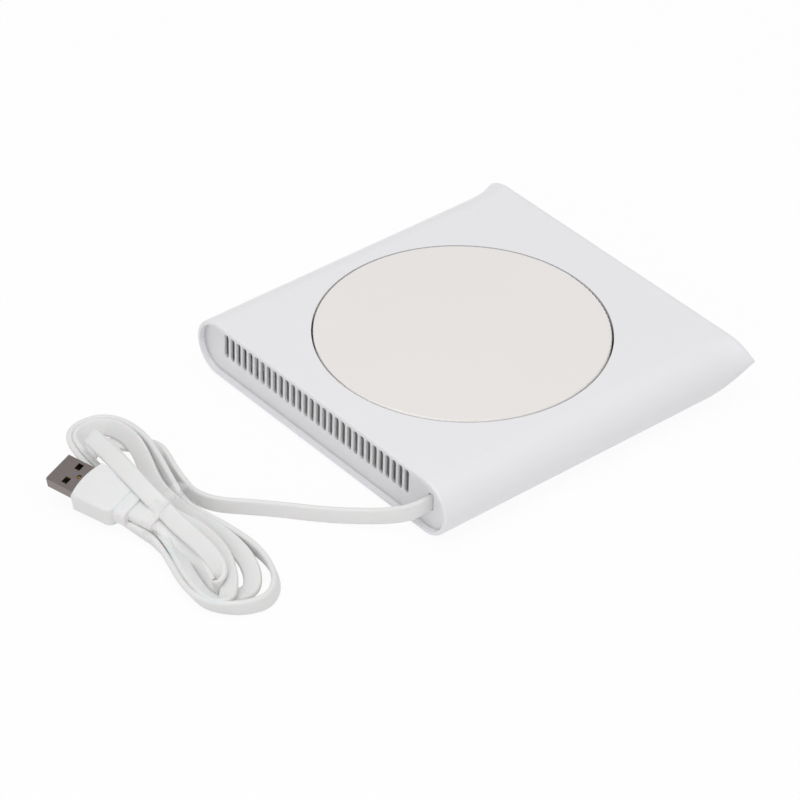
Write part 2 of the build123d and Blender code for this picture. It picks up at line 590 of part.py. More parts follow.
def make_tail():
    """Sheathed end of the cord inside the body."""
    start = Vector(CORD_X, GRILLE_BACK, CORD_Z)
    return extrude(cord_section(start, Vector(0, 1, 0)), TAIL_END_Y - GRILLE_BACK)


def make_power_wires():
    """Two cores from the sheath's end to the board's socket."""
    wires = []
    for side in (-1, 1):
        core_z = CORD_Z + side * CORE_OFFSET
        way_y = SOCKET_Y + side * WAY_OFFSET
        way_x = SOCKET_X + SOCKET_L - WAY_DEPTH + FIT
        points = [
            (CORD_X, TAIL_END_Y, core_z),
            (CORD_X, -42.0, core_z),
            (51.8 + 0.5 * side, -36.0, CORD_Z + side),
            (44.0 + 1.5 * side, -19.65, 8.7 + 0.2 * side),
            (28.9, way_y, WAY_Z),
            (way_x, way_y, WAY_Z),
        ]
        radii = [CORE_RADIUS_SHARE * radius for radius in corner_radii(points)]
        path = FilletPolyline(*points, radius=radii)
        disc = Plane(origin=path @ 0, z_dir=path % 0) * Circle(WIRE_D / 2)
        wires.append(sweep(disc, path=path))
    return Compound(wires)


def make_heater_leads():
    """Two short leads from the board up to the heater, free to flex with the plate."""
    return Compound([rod(WIRE_D, BOARD_TOP, HEATER_Z0, x, y) for x, y in LEAD_XY])


def make_sensor_leads():
    """Two fine leads from the board up to the temperature sensor."""
    top = HEATER_Z0 - SENSOR_H
    return Compound([rod(SENSOR_LEAD_D, BOARD_TOP, top, x, y) for x, y in SENSOR_LEADS])


# ---------------------------------------------------------------- USB plug
def tube_box(x0, x1, width, z0, z1, corner):
    """Rounded bar along the plug's axis."""
    plane = Plane(origin=(x0, 0, (z0 + z1) / 2), x_dir=(0, 1, 0), z_dir=(1, 0, 0))
    return extrude(plane * RectangleRounded(width, z1 - z0, corner), x1 - x0)


def centred_bar(x0, x1, width, height, corner):
    """Rounded bar along the plug's axis, level with the middle of the shell."""
    return tube_box(x0, x1, width, SHELL_MID - height / 2, SHELL_MID + height / 2, corner)


def make_usb_shell():
    """Folded steel shell with two latch holes on each broad face."""
    wall = SHELL_WALL
    shell = tube_box(0, SHELL_L, SHELL_W, -SHELL_H, 0, SHELL_R)
    shell = shell - tube_box(-CUT, SHELL_L + CUT, SHELL_W - 2 * wall, wall - SHELL_H, -wall,
                             SHELL_R - wall)
    for side in (-1, 1):
        shell = shell - Pos(LATCH_X, side * LATCH_Y, SHELL_MID) * Box(LATCH_L, LATCH_W, SHELL_H + CUT)
    shell = shell - Pos(DIMPLE_X, 0, 0) * Cylinder(DIMPLE_D / 2, SHELL_H / 2)
    return plug_plane().location * shell


TONGUE_Z0 = -SHELL_H + SHELL_WALL
TONGUE_Z1 = TONGUE_Z0 + TONGUE_H


def contact_solids():
    z1 = TONGUE_Z1 + CONTACT_PROUD
    half = CONTACT_W / 2
    return [block(*CONTACT_X, y - half, y + half, z1 - CONTACT_T, z1) for y in CONTACT_Y]


def make_usb_tongue():
    """Insulator that carries the contacts, lying on the shell's lower wall."""
    tongue = tube_box(TONGUE_X0, SHELL_L, TONGUE_W, TONGUE_Z0, TONGUE_Z1, TONGUE_R)
    for contact in contact_solids():
        tongue = tongue - contact
    return plug_plane().location * tongue


def make_usb_contacts():
    place = plug_plane().location
    return Compound([place * contact for contact in contact_solids()])


def make_overmould():
    """Soft moulding of the plug: body with rounded back corners, neck and stem."""
    half_front, half_back = MOULD_W / 2, MOULD_W / 2 - MOULD_TAPER
    x0, x1, turn_x = SHELL_OUT, MOULD_X1, MOULD_X1 - MOULD_BACK_R
    turn_y = half_back - MOULD_BACK_R
    front = ThreePointArc((x0, half_front), (x0 - MOULD_BULGE, 0), (x0, -half_front))
    near = Line((x0, -half_front), (turn_x, -half_back))
    near_corner = TangentArc((turn_x, -half_back), (x1, -turn_y), tangent=(1, 0))
    back = Line((x1, -turn_y), (x1, turn_y))
    far_corner = TangentArc((x1, turn_y), (turn_x, half_back), tangent=(0, 1))
    far = Line((turn_x, half_back), (x0, half_front))
    plan = make_face(Curve() + [front, near, near_corner, back, far_corner, far])
    body = extrude(Pos(0, 0, SHELL_MID - MOULD_H / 2) * plan, MOULD_H)
    body = chamfer(body.faces().filter_by(Axis.Z).edges(), MOULD_RIM)
    body = body + centred_bar(x1 - JOIN, NECK_X1, NECK_W, NECK_H, NECK_R)
    body = body + centred_bar(NECK_X1 - JOIN, STEM_X1, STEM_W, STEM_H, STEM_R)
    body = body - tube_box(SHELL_OUT - 2 * MOULD_BULGE, SHELL_L, SHELL_W, -SHELL_H, 0, SHELL_R)
    return plug_plane().location * body


# ---------------------------------------------------------------- write every node
save("housing_sleeve", make_sleeve())
save("bottom_cover", make_cover())
save("cover_screws", make_screws())
save("rubber_feet", make_feet())
save("vent_grille", make_grille())
save("heating_plate", make_heating_plate())
save("plate_gasket", ring(GASKET_D, GASKET_BORE, GASKET_Z0, PLATE_Z0))
save("heater_mat", rod(HEATER_D, HEATER_Z0, PLATE_Z0, 0, PLATE_Y))
save("insulation_pad", make_pad())
save("plate_carrier", make_carrier())
save("thermistor", make_thermistor())
save("thermal_cutout", make_cutout())
save("plate_springs", make_springs())
save("circuit_board", make_board())
save("board_screws", make_board_screws())
save("micro_switch", make_switch())
save("switch_plunger", make_plunger())
save("control_chip", make_chip())
save("power_transistor", make_transistor())
save("filter_capacitor", make_capacitor())
save("power_socket", make_socket())
save("power_wires", make_power_wires())
save("heater_leads", make_heater_leads())
save("sensor_leads", make_sensor_leads())
save("cord_anchor", make_anchor())
save("cord_tail", make_tail())
save("cord_lead", make_lead())
save("cord_hank", make_hank())
save("hank_tie", make_tie())
save("usb_overmould", make_overmould())
save("usb_shell", make_usb_shell())
save("usb_tongue", make_usb_tongue())
save("usb_contacts", make_usb_contacts())
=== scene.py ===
# %% [markdown]
# # A desk mug warmer
#
# The object is a flat white sleeve with a round heating plate let into its top. One end is a panel
# of upright slots, and a flat cord leaves it at one corner. The cord is folded into a tied hank and
# ends in a USB plug. The working pieces already exist as solids in one shared frame, in metres:
# here they get their finishes, and the soft or finely rounded pieces are modelled again over them.

# %% Load the frame
import json
from math import cos, pi, radians, sin

import bmesh
import bpy
from mathutils import Matrix, Vector


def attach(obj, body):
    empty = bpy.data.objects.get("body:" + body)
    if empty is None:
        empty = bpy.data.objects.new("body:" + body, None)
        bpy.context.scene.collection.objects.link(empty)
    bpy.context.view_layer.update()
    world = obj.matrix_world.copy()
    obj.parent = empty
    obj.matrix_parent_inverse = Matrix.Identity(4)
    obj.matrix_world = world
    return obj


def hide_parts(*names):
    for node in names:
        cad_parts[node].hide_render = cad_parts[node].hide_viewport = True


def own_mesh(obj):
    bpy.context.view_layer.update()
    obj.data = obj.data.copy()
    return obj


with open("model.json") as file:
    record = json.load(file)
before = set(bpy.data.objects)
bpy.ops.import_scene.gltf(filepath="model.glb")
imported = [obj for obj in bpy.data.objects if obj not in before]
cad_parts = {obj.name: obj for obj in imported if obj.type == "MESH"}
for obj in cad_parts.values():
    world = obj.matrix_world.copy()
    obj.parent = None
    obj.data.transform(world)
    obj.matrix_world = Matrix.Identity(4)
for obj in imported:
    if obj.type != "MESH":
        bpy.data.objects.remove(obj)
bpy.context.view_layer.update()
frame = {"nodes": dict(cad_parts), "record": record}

MM = 0.001
nodes = frame["nodes"]
print("pieces in the frame:", len(nodes))

# %% [markdown]
# ## The camera
#
# A product shot like this is taken from well back with a long lens, so edges that run away from the
# viewer hardly draw together. The camera is placed by its direction and distance from the middle of
# the heating plate, because that circle gives the view its shape: how flat it looks is the camera's
# height, and its slight turn is the camera's roll. A lens in millimetres follows from the focal
# length in picture widths, since Blender's sensor is 36 mm wide.

# %% Camera
PICTURE_PX = 800
FOCAL_PX = 4043.72                      # distance from lens to picture, in pixels of that picture
PLATE_CENTRE_PX = (462.57, 331.18)      # where the middle of the plate shows, from the top left
PLATE_CENTRE = Vector((0.0, -4.65, 21.8)) * MM
VIEW_DEPTH = 1341.7 * MM                # from the lens to the plate's middle, along the view
AZIMUTH, ELEVATION, ROLL = radians(49.266), radians(36.755), radians(1.382)
SENSOR_MM = 36.0


def view_axes():
    """The camera's right, up and backward directions in the world."""
    back = Vector((sin(AZIMUTH) * cos(ELEVATION), -cos(AZIMUTH) * cos(ELEVATION), sin(ELEVATION)))
    level = Vector((0, 0, 1)).cross(back).normalized()
    upright = back.cross(level)
    right = level * cos(ROLL) + upright * sin(ROLL)
    up = upright * cos(ROLL) - level * sin(ROLL)
    return right, up, back


def make_camera():
    right, up, back = view_axes()
    half = PICTURE_PX / 2
    across = (PLATE_CENTRE_PX[0] - half) * VIEW_DEPTH / FOCAL_PX
    along = -(PLATE_CENTRE_PX[1] - half) * VIEW_DEPTH / FOCAL_PX
    place = PLATE_CENTRE - right * across - up * along + back * VIEW_DEPTH
    data = bpy.data.cameras.new("camera")
    data.sensor_width = SENSOR_MM
    data.lens = FOCAL_PX * SENSOR_MM / PICTURE_PX
    data.clip_start, data.clip_end = 0.05, 20.0
    camera = bpy.data.objects.new("camera", data)
    camera.matrix_world = Matrix.Translation(place) @ Matrix((right, up, back)).transposed().to_4x4()
    bpy.context.scene.collection.objects.link(camera)
    return camera


camera = make_camera()
bpy.context.scene.camera = camera
print("lens", round(camera.data.lens, 1), "mm, camera at", [round(c, 3) for c in camera.location])

# %% [markdown]
# ## Colours and shader nodes
#
# Colours are written as sRGB hex, as a paint chart gives them, and shaders want linear light, so one
# function turns the one into the other. A second function adds a shader node with its settings and
# its links in one call, which keeps each material short enough to read.

# %% Two helpers for materials


def linear(hex_colour):
    """Linear RGBA of an sRGB hex colour such as 'E6E6E9'."""
    parts = [int(hex_colour[i:i + 2], 16) / 255 for i in (0, 2, 4)]
    return [c / 12.92 if c <= 0.04045 else ((c + 0.055) / 1.055) ** 2.4 for c in parts] + [1.0]


def add_node(material, kind, inputs=None, **settings):
    """Add a shader node. inputs maps a socket to a number, a colour or another node's output."""
    tree = material.node_tree
    node = tree.nodes.new(kind)
    for name, value in settings.items():
        setattr(node, name, value)
    for socket, value in (inputs or {}).items():
        if isinstance(value, bpy.types.NodeSocket):
            tree.links.new(value, node.inputs[socket])
        else:
            node.inputs[socket].default_value = value
    return node


def start_material(name, **sockets):
    """A new material, its Principled shader and its object coordinates."""
    material = bpy.data.materials.new(name)
    material.use_nodes = True
    shader = material.node_tree.nodes["Principled BSDF"]
    for socket, value in sockets.items():
        shader.inputs[socket.replace("_", " ")].default_value = value
    place = add_node(material, "ShaderNodeTexCoord").outputs["Object"]
    return material, shader, place


def link(material, output, shader, socket):
    material.node_tree.links.new(output, shader.inputs[socket])


def noise(material, place, size_mm, detail=2.0, stretch=None):
    """Noise whose blotches are about size_mm across, drawn out along an axis where stretch says so."""
    if stretch:
        place = add_node(material, "ShaderNodeMapping", {"Vector": place, "Scale": stretch}).outputs[0]
    scale = 1 / (size_mm * MM)
    return add_node(material, "ShaderNodeTexNoise",
                    {"Vector": place, "Scale": scale, "Detail": detail}).outputs["Fac"]


def between(material, share, low, high):
    """A number that runs from low to high as share runs from 0 to 1."""
    return add_node(material, "ShaderNodeMapRange",
                    {"Value": share, "To Min": low, "To Max": high}).outputs[0]


def colour_between(material, share, low, high):
    return add_node(material, "ShaderNodeMix", {0: share, 6: linear(low), 7: linear(high)},
                    data_type="RGBA").outputs[2]


def add_relief(material, shader, height, depth_mm):
    """Bump from a height of 0 to 1 that stands for depth_mm."""
    bump = add_node(material, "ShaderNodeBump",
                    {"Height": height, "Distance": depth_mm * MM, "Strength": 1.0})
    link(material, bump.outputs[0], shader, "Normal")


def moulded(name, low, high, gloss, ior, grain_mm, grain_depth_mm, patch_mm=22.0, **sockets):
    """A moulded or cast surface: two close colours in soft patches, uneven gloss and a fine grain."""
    material, shader, place = start_material(name, IOR=ior, **sockets)
    patches = noise(material, place, patch_mm)
    link(material, colour_between(material, patches, low, high), shader, "Base Color")
    haze = noise(material, place, patch_mm / 4)
    link(material, between(material, haze, gloss[0], gloss[1]), shader, "Roughness")
    add_relief(material, shader, noise(material, place, grain_mm, 3.0), grain_depth_mm)
    return material


print("linear white plastic", [round(c, 3) for c in linear("E6E6E9")])

# %% [markdown]
# ## Plastics and rubbers
#
# Most of the object is moulded. A mould gives its own surface to the part, so a fine grain cut into
# the mould makes a satin skin, and a polished mould makes a glossy one. What tells white plastics
# apart is small: how cool the white is, how soft the highlight is, and how fine the grain.

# %% Plastics and rubbers
materials = {
    # ABS, moulded with a fine satin grain: cool white, soft wide highlight
    "white_abs": moulded("moulded_satin_abs", "E9E9EC", "EBEBEE", (0.30, 0.38), 1.53, 0.35, 0.004),
    # silicone rubber, matt from the mould, grips the table
    "white_silicone": moulded("matt_silicone_rubber", "DEDEDF", "E6E6E6", (0.55, 0.7), 1.41, 0.3, 0.01),
    # gasket cut from grey silicone sheet
    "silicone_film": moulded("cut_silicone_sheet", "A9A7A4", "B5B3B0", (0.5, 0.6), 1.41, 0.5, 0.006),
    # glass-filled PPS, ivory, dull where the glass fibres reach the skin
    "ivory_pps": moulded("glass_filled_pps", "D8CFB8", "E2DAC6", (0.45, 0.6), 1.6, 0.25, 0.012, 8.0),
    # epoxy moulding compound, black and fine-grained
    "black_epoxy": moulded("moulded_black_epoxy", "1D1D1F", "28282A", (0.45, 0.6), 1.55, 0.12, 0.006, 3.0),
    # nylon, black, moulded smooth
    "black_nylon": moulded("moulded_black_nylon", "202023", "2B2B2E", (0.4, 0.5), 1.53, 0.15, 0.005, 4.0),
    # acetal, red and waxy
    "red_acetal": moulded("moulded_red_acetal", "B3261F", "C22F27", (0.3, 0.4), 1.48, 0.15, 0.004, 2.0,
                          Subsurface_Weight=0.1, Subsurface_Scale=1 * MM),
    # nylon without dye, cream and slightly see-through
    "natural_nylon": moulded("natural_nylon", "E4DFCF", "ECE8DA", (0.35, 0.45), 1.53, 0.2, 0.004, 4.0,
                             Subsurface_Weight=0.15, Subsurface_Scale=1 * MM),
    # soft PVC, extruded round the cores: neutral white, satin, faint lines of the die
    "white_pvc": moulded("extruded_white_pvc", "E4E4E4", "E8E8E7", (0.40, 0.48), 1.52, 0.6, 0.008, 9.0,
                         Subsurface_Weight=0.12, Subsurface_Scale=1.2 * MM),
    # thermoplastic rubber over the plug, softer sheen than the cord
    "white_tpe": moulded("moulded_white_tpe", "E6E6E6", "EAEAEA", (0.42, 0.5), 1.5, 0.25, 0.006, 7.0,
                         Subsurface_Weight=0.15, Subsurface_Scale=1.5 * MM),
    # PBT insulator inside the plug's shell, black as painted shade, so that the latch holes look dark
    "plug_insulator": moulded("black_pbt_painted_shade", "161617", "202022", (0.35, 0.45), 1.55, 0.2, 0.004, 4.0),
    # the slotted panel is thin, so light comes through its ribs and softens the slots
    "thin_abs": moulded("thin_moulded_abs", "ECECEE", "EEEEF0", (0.34, 0.42), 1.53, 0.35, 0.004,
                        Subsurface_Weight=0.6, Subsurface_Scale=1.5 * MM,
                        Subsurface_Radius=(1.0, 1.0, 1.0)),
}
print("plastics:", len(materials))

# %% [markdown]
# ## Heating plate and insulation
#
# The plate is opal glass ceramic, creamier than the plastic round it and faintly cloudy inside. The
# heater on its back is an amber polyimide film with a printed metal track, and the pad under it is
# pressed ceramic fibre. Each pattern is worked out from the real size of what makes it.

# %% Plate, heater and pad
TRACK_PITCH_MM = 3.2
FIBRE_MM = 0.4


def opal_glass_ceramic():
    """Satin opal glass ceramic: off-white, warmer towards its middle tone, with a thin even gloss."""
    material = moulded("satin_opal_glass_ceramic", "E9E6E3", "ECE8E5", (0.22, 0.28), 1.54, 0.25, 0.0015,
                       45.0, Coat_Weight=0.15, Coat_Roughness=0.12)
    return material


def polyimide_heater():
    """Amber polyimide film over a printed track that runs round in rings."""
    material, shader, place = start_material("printed_polyimide_film", IOR=1.7, Roughness=0.25)
    centred = add_node(material, "ShaderNodeMapping",
                       {"Vector": place, "Location": (0, -PLATE_CENTRE.y, 0)}).outputs[0]
    rings = add_node(material, "ShaderNodeTexWave",
                     {"Vector": centred, "Scale": 1 / (TRACK_PITCH_MM * MM) * pi / 10, "Distortion": 0.0},
                     wave_type="RINGS", rings_direction="Z", wave_profile="SIN").outputs["Fac"]
    track = add_node(material, "ShaderNodeMath", {0: rings, 1: 0.5}, operation="GREATER_THAN").outputs[0]
    link(material, colour_between(material, track, "B86B1E", "C9A27A"), shader, "Base Color")
    link(material, between(material, track, 0.0, 0.75), shader, "Metallic")
    add_relief(material, shader, track, 0.03)
    return material


def ceramic_fibre():
    """Pressed ceramic fibre: chalk white, dry, with short fibres in its surface."""
    material, shader, place = start_material("pressed_ceramic_fibre", IOR=1.5, Roughness=0.95,
                                             Sheen_Weight=0.3, Sheen_Roughness=0.6)
    fibres = noise(material, place, FIBRE_MM, 5.0, stretch=(1.0, 0.2, 1.0))
    link(material, colour_between(material, fibres, "CFCBC3", "F0EEE9"), shader, "Base Color")
    add_relief(material, shader, fibres, 0.15)
    return material


materials["opal_glass_ceramic"] = opal_glass_ceramic()
materials["polyimide_film"] = polyimide_heater()
materials["ceramic_fibre"] = ceramic_fibre()
print("with the plate stack:", len(materials))

# %% [markdown]
# ## Metals and the circuit board
#
# A metal shows how it was worked. Rolling and brushing leave fine lines one way, plating leaves a
# soft mottle, and drawn wire is nearly smooth. The lines are noise that is drawn out along the
# direction of the work. The board is glass cloth in green resin, so its weave shows faintly.

# %% Metals
BRUSH_LINE_MM = 0.12
WEAVE_MM = 0.5


def worked_metal(name, low, high, gloss, line_mm, stretch, depth_mm=0.003, turn=0.0):
    """Metal with fine lines along one direction."""
    material, shader, place = start_material(name, Metallic=1.0)
    turned = add_node(material, "ShaderNodeMapping", {"Vector": place, "Rotation": (0, 0, turn)}).outputs[0]
    lines = noise(material, turned, line_mm, 4.0, stretch=stretch)
    link(material, colour_between(material, lines, low, high), shader, "Base Color")
    link(material, between(material, lines, gloss[0], gloss[1]), shader, "Roughness")
    add_relief(material, shader, lines, depth_mm)
    return material


def woven_laminate():
    """Glass cloth in green resin, two crossed sets of threads under a clear skin."""
    material, shader, place = start_material("glass_epoxy_laminate", IOR=1.55, Roughness=0.35,
                                             Coat_Weight=0.5, Coat_Roughness=0.15)
    threads = [add_node(material, "ShaderNodeTexWave", {"Vector": place, "Scale": pi / 10 / (WEAVE_MM * MM)},
                        bands_direction=axis).outputs["Fac"] for axis in ("X", "Y")]
    cloth = add_node(material, "ShaderNodeMath", {0: threads[0], 1: threads[1]},
                     operation="MULTIPLY").outputs[0]
    link(material, colour_between(material, cloth, "1F5B34", "2E7547"), shader, "Base Color")
    add_relief(material, shader, cloth, 0.02)
    return material


PLUG_YAW = radians(13.6)
materials.update({
    # nickel-plated steel, brushed across the plug: dark, warm grey
    "plug_steel": worked_metal("brushed_nickel_plated_steel", "7C7270", "98908E", (0.28, 0.42),
                               BRUSH_LINE_MM, (0.08, 1.0, 1.0), turn=-PLUG_YAW),
    # zinc-plated steel screws, mottled bright grey
    "zinc_steel": worked_metal("zinc_plated_steel", "9A9DA1", "B9BCC0", (0.25, 0.45), 0.5, (1, 1, 1)),
    # drawn spring wire, smooth with faint drawing lines
    "spring_steel": worked_metal("drawn_spring_wire", "7C7E82", "94969A", (0.22, 0.34), 0.2, (1, 1, 0.2)),
    # gilt brass contacts, rolled
    "contact_brass": worked_metal("gilt_brass", "B98E42", "D3AC62", (0.22, 0.35), 0.15, (0.1, 1, 1)),
    # printed sleeve shrunk on an aluminium can
    "sleeved_aluminium": worked_metal("sleeved_aluminium", "4A5C78", "566A88", (0.3, 0.4), 0.4, (1, 1, 1)),
    "fr4_laminate": woven_laminate(),
})
print("with the metals:", len(materials))

# %% [markdown]
# ## Clear film
#
# The strap is a strip of clear film. A very thin clear sheet hardly bends what is behind it: what
# shows is a faint whitish veil, brighter where the light strikes its edges and folds. So most of the
# shader is plain see-through, and the rest is a glossy white that is painted reflection, stronger
# where the film is seen edge-on, which a Layer Weight node gives, and along a crease noise that also
# gives the film its relief.

# %% Clear film
VEIL = (0.05, 0.5)        # how much of the film shows, face-on and edge-on


def clear_film():
    material, shader, place = start_material("clear_packing_film", IOR=1.5, Roughness=0.12,
                                             Base_Color=linear("F4F4F4"), Specular_IOR_Level=0.8)
    # painted reflection: the white veil shows more where the film is seen edge-on and along the crease noise
    slant = add_node(material, "ShaderNodeLayerWeight", {"Blend": 0.35}).outputs["Facing"]
    crease_relief_and_painted_sheen = noise(material, place, 2.2, 2.0)
    veil = add_node(material, "ShaderNodeMath", {0: slant, 1: crease_relief_and_painted_sheen}, operation="MULTIPLY").outputs[0]
    link(material, between(material, veil, VEIL[0], VEIL[1]), shader, "Alpha")
    add_relief(material, shader, crease_relief_and_painted_sheen, 0.25)
    return material


materials["clear_film"] = clear_film()
print("finishes:", len(materials))

# %% [markdown]
# ## Dress the solids
#
# The record says which finish each solid wears, so a loop can hand out all of them. Pieces that are
# modelled again below take theirs from the same table.

# %% Hand out the finishes
slots = {part["node"]: part["material_slot"] for part in frame["record"]["subparts"]}


def dress(piece, slot):
    """Give a piece the finish of a slot as its only material."""
    piece.data.materials.clear()
    piece.data.materials.append(materials[slot])


for node_name, node in nodes.items():
    finish = "thin_abs" if node_name == "vent_grille" else slots[node_name]
    node.material_slots[0].material = materials[finish]
print("dressed", len(nodes), "solids")

# %% [markdown]
# ## Floor and light
#
# The floor is a pale sheet. Seen by the camera it is mostly a plain white glow, so the picture has
# a clean background, and a small share stays a matt surface that keeps the object's soft shadow.
# The light comes from three large soft boxes and an even surround, at a level where a colour
# renders about as it is written.

# %% Floor
FLOOR_SIZE = 4.0
FLOOR_DROP = 0.05           # mm under the object, so that the two never share a surface
FLOOR_GLOW = 0.93


def make_floor():
    bm = bmesh.new()
    bmesh.ops.create_grid(bm, x_segments=1, y_segments=1, size=FLOOR_SIZE / 2)
    bmesh.ops.translate(bm, verts=bm.verts, vec=(0, 0, -FLOOR_DROP * MM))
    mesh = bpy.data.meshes.new("floor")
    bm.to_mesh(mesh)
    bm.free()
    floor = bpy.data.objects.new("floor", mesh)
    bpy.context.scene.collection.objects.link(floor)
    return floor


def floor_material():
    """Matt white paper that also glows for the rays that would see it."""
    material, shader, place = start_material("white_paper", Roughness=0.9, Base_Color=linear("F2F2F2"))
    rays = add_node(material, "ShaderNodeLightPath").outputs
    seen = add_node(material, "ShaderNodeMath", {0: rays["Is Camera Ray"], 1: rays["Is Glossy Ray"]},
                    operation="MAXIMUM")
    seen = add_node(material, "ShaderNodeMath",
                    {0: seen.outputs[0], 1: rays["Is Transmission Ray"]}, operation="MAXIMUM")
    share = add_node(material, "ShaderNodeMath", {0: seen.outputs[0], 1: FLOOR_GLOW},
                     operation="MULTIPLY")
    glow = add_node(material, "ShaderNodeEmission", {"Color": (1, 1, 1, 1), "Strength": 1.0})
    mix = add_node(material, "ShaderNodeMixShader",
                   {0: share.outputs[0], 1: shader.outputs[0], 2: glow.outputs[0]})
    output = material.node_tree.nodes["Material Output"]
    material.node_tree.links.new(mix.outputs[0], output.inputs["Surface"])
    return material


floor = make_floor()
floor.data.materials.append(floor_material())
print("floor", FLOOR_SIZE, "m across")

# %% Light
SOFT_BOXES = {      # name: (place, size, watts), each aimed at the object
    "overhead": ((0.2, -0.25, 1.6), 1.4, 9.1),
    "left_box": ((-1.4, -0.6, 0.9), 1.0, 0.2),
    "near_box": ((0.9, -1.3, 0.75), 1.0, 2.8),
}
SURROUND = 0.64


def make_light(name, place, size, watts):
    data = bpy.data.lights.new(name, "AREA")
    data.shape, data.size, data.energy = "DISK", size, watts
    lamp = bpy.data.objects.new(name, data)
    lamp.location = place
    lamp.rotation_euler = Vector(place).to_track_quat("Z", "Y").to_euler()
    bpy.context.scene.collection.objects.link(lamp)


def make_world():
    """Even white surround, and plain white where the camera or a reflection sees past the floor."""
    world = bpy.data.worlds.new("surround")
    world.use_nodes = True
    background = world.node_tree.nodes["Background"]
    background.inputs["Color"].default_value = (1, 1, 1, 1)
    rays = world.node_tree.nodes.new("ShaderNodeLightPath").outputs
    strength = world.node_tree.nodes.new("ShaderNodeMapRange")
    strength.inputs["To Min"].default_value = SURROUND
    strength.inputs["To Max"].default_value = 1.0
    world.node_tree.links.new(rays["Is Camera Ray"], strength.inputs["Value"])
    world.node_tree.links.new(strength.outputs[0], background.inputs["Strength"])
    bpy.context.scene.world = world


for box_name, (box_place, box_size, box_watts) in SOFT_BOXES.items():
    make_light(box_name, box_place, box_size, box_watts)
make_world()
bpy.context.scene.view_settings.view_transform = "Standard"
print("soft boxes:", len(SOFT_BOXES))

# %% [markdown]
# ## The line of the cord
#
# A flat two-core cord bends easily across its thin side and hardly at all across its wide side, so
# it stands on edge wherever it turns on the table, and it has to twist before it can lie flat. Its
# shape is therefore two lines, not one: the middle of the cord, and the direction in which its upper
# edge points. Each is a NURBS spline through a few control points, so both change smoothly. The free
# stretch and the loose folds on top are points given one by one. The tidy turns of the hank are worked
# out in a loop: each follows the hank's outline, moved inwards by the turns outside it.

# %% Sizes of the cord and its free stretch
CORD_W, CORD_T, CORD_R = 6.0, 2.0, 0.9      # width, thickness and rounding, in mm
STEPS_PER_POINT = 8                         # samples of the smooth line for each control point
TIE_AT = Vector((2.9, -128.3, 0.0))         # middle of the strap
TIE_TURN = radians(20)
ALONG_TIE = Vector((cos(TIE_TURN), sin(TIE_TURN), 0))
ACROSS_TIE = Vector((-sin(TIE_TURN), cos(TIE_TURN), 0))
UP = Vector((0, 0, 1))

# (x, y, z, lean of the upper edge to the left of the way in degrees), all in mm
FREE_STRETCH = [
    (53.3, -61.7, 11.4, 0),
    (53.3, -65.8, 11.0, 0),
    (50.9, -69.6, 8.7, 0),
    (45.6, -73.3, 5.9, 0),
    (39.4, -77.9, 4.1, 0),
    (30.1, -86.4, 3.0, 0),
    (15.1, -99.3, 3.0, 2),
    (0.1, -114.8, 3.0, 2),
    (-16.0, -111.9, 3.0, -4),
    (-28.0, -108.7, 3.05, -30),
    (-35.0, -108.4, 2.0, -70),
    (-40.0, -111.4, 1.1, -88),
    (-43.8, -115.4, 1.1, -90),
    (-46.2, -120.0, 1.2, -90),
    (-45.6, -125.6, 1.3, -88),
    (-39.5, -130.8, 1.2, -85),
    (-28.0, -135.6, 1.2, -85),
    (-14.0, -139.8, 2.35, -62),
    (-3.0, -139.2, 3.15, -30),
]


def edge_up(lean, side):
    """Direction of the upper edge, leaning towards side."""
    return UP * cos(lean) + side * sin(lean)


def right_hand(before, after):
    """Level direction to the right of the way from before to after."""
    run = (after - before)
    return Vector((run.y, -run.x, 0)).normalized()


def free_points(rows):
    """Control points of a listed stretch: (place, direction of the upper edge)."""
    places = [Vector(row[:3]) for row in rows]
    line = []
    for i, row in enumerate(rows):
        side = -right_hand(places[max(i - 1, 0)], places[min(i + 1, len(rows) - 1)])
        line.append((places[i], edge_up(radians(row[3]), side)))
    return line


print("free stretch:", len(FREE_STRETCH), "points")

# %% The hank's turns
# Outlines of the two lobes for the outermost cord, both counterclockwise seen from above.
LEFT_LOBE = [(-12.0, -117.0), (-24.2, -112.8), (-33.0, -110.0), (-41.0, -109.2), (-48.0, -110.2),
             (-53.0, -113.4), (-55.2, -118.4), (-55.2, -124.4), (-51.8, -129.4), (-43.6, -132.0),
             (-32.0, -133.0), (-20.0, -135.4), (-8.0, -137.6)]
RIGHT_LOBE = [(17.8, -139.7), (31.9, -144.5), (41.0, -144.6), (47.5, -139.6), (50.9, -133.8),
              (51.8, -127.4), (47.6, -120.9), (39.0, -116.4), (28.5, -114.9), (16.0, -116.4)]
INNER_LOBE = [(17.8, -137.0), (29.5, -140.9), (37.8, -142.4), (43.6, -141.8), (44.0, -137.9),
              (40.6, -134.7), (36.4, -131.3), (28.6, -127.4), (19.8, -125.7), (11.8, -126.2)]

# One row for each half turn: the lobe, then three sets of values at evenly spaced stations from its
# start to its end: how far it lies inside the outline, how far it is lifted off the table, and how
# far its upper edge leans outwards (degrees). Last comes the lane where it next passes the strap:
# across, height and lean.
HALF_TURNS = [
    (RIGHT_LOBE, (0.0, 0.0), (0.0, 0.0), (42, 25, -2, -22, -4), (9.6, 0.2, 0)),
    (LEFT_LOBE, (0.0, 0.0, 2.4), (1.4, 0.6, 0.0), (4, 4, 55), (-7.8, 0.0, 18)),
    (RIGHT_LOBE, (2.4, 5.8, 9.8, 6.8, 3.4), (0.2, 0.0, 0.0, 0.4, 1.3), (40, 86, 88, 76, 52),
     (6.3, 1.4, 60)),
    (LEFT_LOBE, (5.2, 3.2, 2.9, 3.6, 5.0), (1.6, 1.4, 1.2, 0.6, 0.0), (60, 40, 42, 36, 45),
     (-5.4, 0.0, 12)),
    (INNER_LOBE, (0.0, 0.0), (1.4, 2.1, 2.3, 3.2, 4.2), (62, 60, 74, 68, 64), (-1.5, 5.9, 60)),
]
LANE_STEP = 3.0
